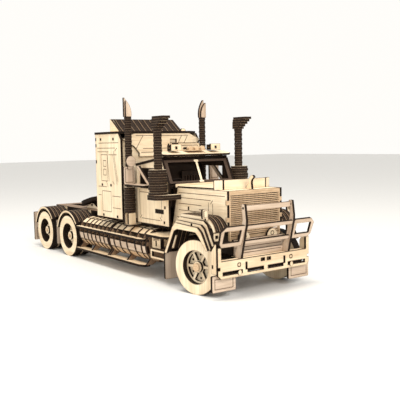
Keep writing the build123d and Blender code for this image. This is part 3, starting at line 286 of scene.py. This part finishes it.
# ------------------------------------------------------------------ sorting a CAD node's faces
AXES = "XYZ"
PLACES_PER_METRE = 2e5             # vertices that round to the same step are one place
FACE_TOLERANCE = 0.03 * MM
ENGRAVED_DEPTH = 0.5 * MM          # a face deeper than the tolerance, up to this, is an engraving
PLATE_LIMIT = 3.3 * MM             # solids thinner than this are flat sheet
HANDLE_THICKNESS = 1.4 * MM        # plates thinner than this are the door handles
LOW_PLANKS = 48 * MM               # tank planks below this height get a darker tone: painted shade
ALONG_SHEET = 0.985                # how nearly a face lies along its sheet, as a cosine
TURNED_AWAY = 0.5                  # how far a face turns inwards before it gets painted shade, as a normal's part
GROOVE_HALF = 0.16 * MM            # half a glue groove on the arches
ARCH_LINE = 0.20                   # light glue line's share of the space between two of them
DEFLECTOR_LINE = 0.12
STACK_LINE = 0.11
DEFLECTOR_SHEETS = 3               # sheets from one light line to the next on the roof deflector
LAMINATED = {"fender_skins": 3, "rear_arch_skins": 4}      # spaces between light lines across each skin
STACKED = ("exhaust_stacks", "intake_canisters", "intake_stacks")
CAB_SHELL = ("cab_sides", "cab_roof", "sun_visor", "hood_sides", "hood_top")
# nodes given a darker, greyer veneer
GREYED = ("bull_bar", "bull_bar_wings", "mudflaps", "mirrors", "front_valance", "exhaust_tips")
WARM = ("bumper", "bumper_ends", "toolboxes", "tank_steps", "fender_plates", "fuel_tank_planks",
        "rear_arch_ribs")
# nodes whose veneer is darkened part of the way, as painted shade
HALF_SHADE = ("rear_deck", "fuel_tank_ribs")
SHADED = ("seats", "dashboard", "cab_bulkheads", "cab_floor", "sleeper_shelves", "windscreen_frame",
          "chassis_rails", "chassis_crossmembers", "rear_axle_brackets", "front_axle_beam",
          "fifth_wheel_plate")
TONE_GROUPS = {"smoked": GREYED, "warm": WARM, "half_shade": HALF_SHADE, "shaded": SHADED}


def islands(mesh):
    """Lists of polygon indices, one list per solid, joining vertices that share a place."""
    places = {}
    where = []
    for vertex in mesh.vertices:
        key = tuple(round(c * PLACES_PER_METRE) for c in vertex.co)
        where.append(places.setdefault(key, len(places)))
    parent = list(range(len(places)))

    def root(i):
        while parent[i] != i:
            parent[i] = parent[parent[i]]
            i = parent[i]
        return i

    for polygon in mesh.polygons:
        first = root(where[polygon.vertices[0]])
        for v in polygon.vertices[1:]:
            other = root(where[v])
            if other != first:
                parent[other] = first
    groups = {}
    for polygon in mesh.polygons:
        groups.setdefault(root(where[polygon.vertices[0]]), []).append(polygon.index)
    return list(groups.values())


def leading_axis(direction):
    """Index of the axis that a direction follows most."""
    return max(range(3), key=lambda k: abs(direction[k]))


def sheet_normal(mesh, members):
    """Direction that carries the most area in a solid, as a plane normal without sign."""
    totals = {}
    for index in members:
        polygon = mesh.polygons[index]
        n = polygon.normal.copy()
        if n[leading_axis(n)] < 0:
            n = -n
        key = tuple(round(c, 2) for c in n)
        totals[key] = totals.get(key, Vector()) + n * polygon.area
    return max(totals.values(), key=lambda total: total.length).normalized()


def solid_tone(name, points, lead):
    """Veneer tone of one solid: its node's tone, but darker on low tank planks and on the steps' brackets, as
    painted shade.
    """
    if name == "fuel_tank_planks" and sum(p.z for p in points) / len(points) < LOW_PLANKS:
        return "smoked"
    if name == "tank_steps" and lead == 0:
        return "half_shade"
    return next((tone for tone, names in TONE_GROUPS.items() if name in names), "pale")


def hidden_tone(name, tone, polygon):
    """Faces turned to the inside of the cab and bonnet, or downwards, get the shaded tone: painted shade."""
    if name not in CAB_SHELL:
        return tone
    inward = polygon.normal.y * polygon.center.y < 0 and abs(polygon.normal.y) > TURNED_AWAY
    return "shaded" if inward or polygon.normal.z < -TURNED_AWAY else tone


def edge_material(name, normal, low, high):
    """Material of a sheet's cut edges, where low and high are its faces' places along the normal."""
    if name in LAMINATED:
        return layered_edge(normal, low + GROOVE_HALF, (high - low) / LAMINATED[name], ARCH_LINE)
    if name == "roof_deflector":
        return layered_edge(normal, 0, DEFLECTOR_SHEETS * LAYER, DEFLECTOR_LINE)
    if name in STACKED:
        return layered_edge(normal, low, LAYER, STACK_LINE)
    return burnt_edge()


def sheet_material(name, tone, grain, polygon, inset):
    """Material of a face along its sheet, where inset is its depth below the sheet's nearer side."""
    if FACE_TOLERANCE <= inset <= ENGRAVED_DEPTH:
        return engraved(grain)
    if name == "windscreen_frame":
        return screen_wood()
    return plywood_face(hidden_tone(name, tone, polygon), grain)


def dress(name, obj):
    """Gives every face of a CAD node its material: veneer, cut edge, engraving, laminate or dowel."""
    mesh = obj.data
    slots = {}

    def slot_of(material):
        if material.name not in slots:
            slots[material.name] = len(slots)
            mesh.materials.append(material)
        return slots[material.name]

    mesh.materials.clear()
    for members in islands(mesh):
        normal = Vector((0, 1, 0)) if name in LAMINATED else sheet_normal(mesh, members)
        points = [mesh.vertices[v].co for i in members for v in mesh.polygons[i].vertices]
        along = [p.dot(normal) for p in points]
        low, high = min(along), max(along)
        lead = leading_axis(normal)
        spans = [max(p[k] for p in points) - min(p[k] for p in points) for k in range(3)]
        grain = AXES[max((k for k in range(3) if k != lead), key=lambda k: spans[k])]
        is_sheet = high - low < PLATE_LIMIT or name in LAMINATED
        is_handle = high - low < HANDLE_THICKNESS and name == "cab_sides"
        tone = solid_tone(name, points, lead)
        edge = edge_material(name, normal, low, high)
        for index in members:
            polygon = mesh.polygons[index]
            if is_handle:
                material = burnt_edge()
            elif not is_sheet:
                # thick solids in the shaded nodes take the charred edge material as painted shade
                material = burnt_edge() if name in SHADED else turned_wood()
            elif abs(polygon.normal.dot(normal)) > ALONG_SHEET:
                depth = polygon.center.dot(normal)
                material = sheet_material(name, tone, grain, polygon, min(depth - low, high - depth))
            else:
                material = edge
            polygon.material_index = slot_of(material)


for node_name, node_object in nodes.items():
    dress(node_name, node_object)


# ------------------------------------------------------------------ floor, light
FLOOR_REACH = 6.0                  # metres from the middle to each side of the floor
FLOOR_PAINT = ((0.68, 0.67, 0.65), (0.74, 0.73, 0.71))
SKY = (1.0, 0.985, 0.95)
SKY_STRENGTH = 1.0


def build_floor():
    """Pale matte table top, far larger than the view."""
    corners = [(-1, -1), (1, -1), (1, 1), (-1, 1)]
    mesh = bpy.data.meshes.new("floor")
    mesh.from_pydata([(x * FLOOR_REACH, y * FLOOR_REACH, 0) for x, y in corners], [], [(0, 1, 2, 3)])
    floor = bpy.data.objects.new("floor", mesh)
    bpy.context.scene.collection.objects.link(floor)
    tree = Tree("floor_paint")
    speck = tree.noise(tree.coord, 300.0, 3.0)
    paint = tree.ramp(speck, [(0.3, FLOOR_PAINT[0]), (0.7, FLOOR_PAINT[1])])
    mesh.materials.append(tree.finish(paint, 0.55))


def add_light(name, place, aim, size, power, colour):
    """Soft round lamp: size is its width in metres, and power is in watts."""
    data = bpy.data.lights.new(name, "AREA")
    data.shape = "DISK"
    data.size = size
    data.energy = power
    data.color = colour
    light = bpy.data.objects.new(name, data)
    light.location = place
    light.rotation_euler = (Vector(aim) - Vector(place)).to_track_quat("-Z", "Y").to_euler()
    bpy.context.scene.collection.objects.link(light)


def build_sky():
    """Even, slightly warm light from all round."""
    world = bpy.data.worlds.new("studio")
    world.use_nodes = True
    background = world.node_tree.nodes["Background"]
    background.inputs["Color"].default_value = (*SKY, 1)
    background.inputs["Strength"].default_value = SKY_STRENGTH
    bpy.context.scene.world = world


build_floor()
add_light("ceiling_light", place=(0.25, -0.35, 1.5), aim=(0, 0, 0.05), size=0.6, power=15,
          colour=(1.0, 0.97, 0.91))
add_light("front_light", place=(1.3, -0.2, 0.8), aim=(0.1, 0, 0.1), size=0.5, power=10,
          colour=(1.0, 0.97, 0.94))
add_light("side_fill", place=(-0.3, -1.5, 0.7), aim=(0, 0, 0.1), size=0.8, power=5,
          colour=(1.0, 0.98, 0.94))
build_sky()
bpy.context.scene.view_settings.view_transform = "Standard"
